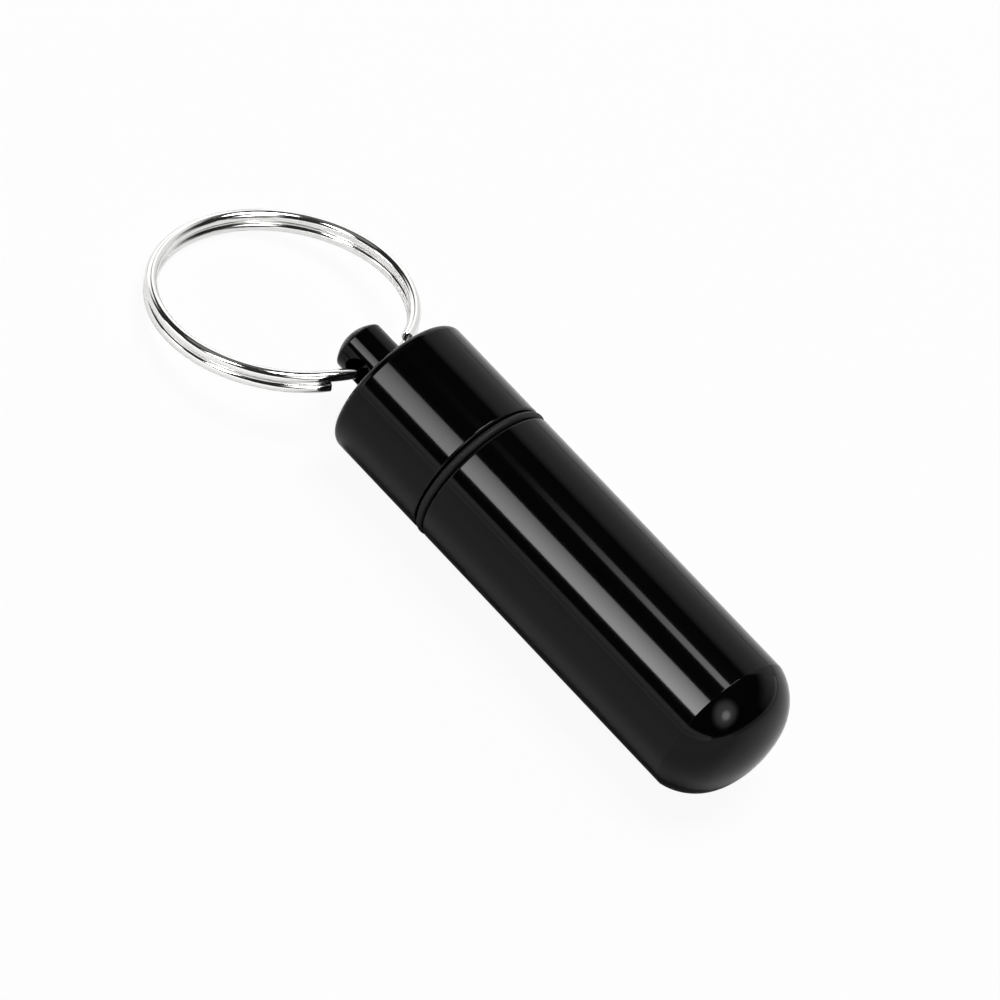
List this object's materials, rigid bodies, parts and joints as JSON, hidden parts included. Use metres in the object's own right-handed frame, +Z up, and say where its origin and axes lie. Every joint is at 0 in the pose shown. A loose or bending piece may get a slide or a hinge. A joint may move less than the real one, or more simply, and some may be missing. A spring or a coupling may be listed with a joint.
{
  "type": "oil vial keychain",
  "caption": "Slim capsule-shaped oil vial with a domed end, a screw cap with a drilled knob, a rubber seal and a split key ring.",
  "frame": {"origin": "on the floor under the middle of the object's box, as it lies on its side", "axes": "+X along the capsule from the key ring towards the domed end, +Y along the knob's cross-hole, +Z up"},
  "size_m": [0.0708, 0.0238, 0.0141],
  "materials": {
    "black_anodised": "black anodised, glossy, fine turning marks",
    "black_rubber": "satin black nitrile rubber",
    "white_liner": "soft white sealing disc",
    "plated_steel": "bright nickel-plated spring steel"
  },
  "bodies": {
    "vial": {"vial_body": "black_anodised", "o_ring": "black_rubber"},
    "liner": {"cap_liner": "white_liner"},
    "cap": {"cap": "black_anodised"},
    "ring": {"split_ring": "plated_steel"}
  },
  "joints": [
    {"name": "cap_lift", "type": "slide", "parent": "vial", "child": "liner", "axis": [-1, 0, 0], "range_m": [0, 0.009]},
    {"name": "cap_turn", "type": "hinge", "parent": "liner", "child": "cap", "pos_m": [-0.00521, 0, 0.00698], "axis": [-1, 0, 0], "range_deg": [0, 2160]},
    {"name": "ring_swing", "type": "hinge", "parent": "cap", "child": "ring", "pos_m": [-0.01286, 0, 0.00698], "axis": [0, 1, 0], "range_deg": [-110, 140]}
  ],
  "couplings": [
    {"joint": "cap_lift", "follows": "cap_turn", "m_per_rad": 0.00023873}
  ]
}
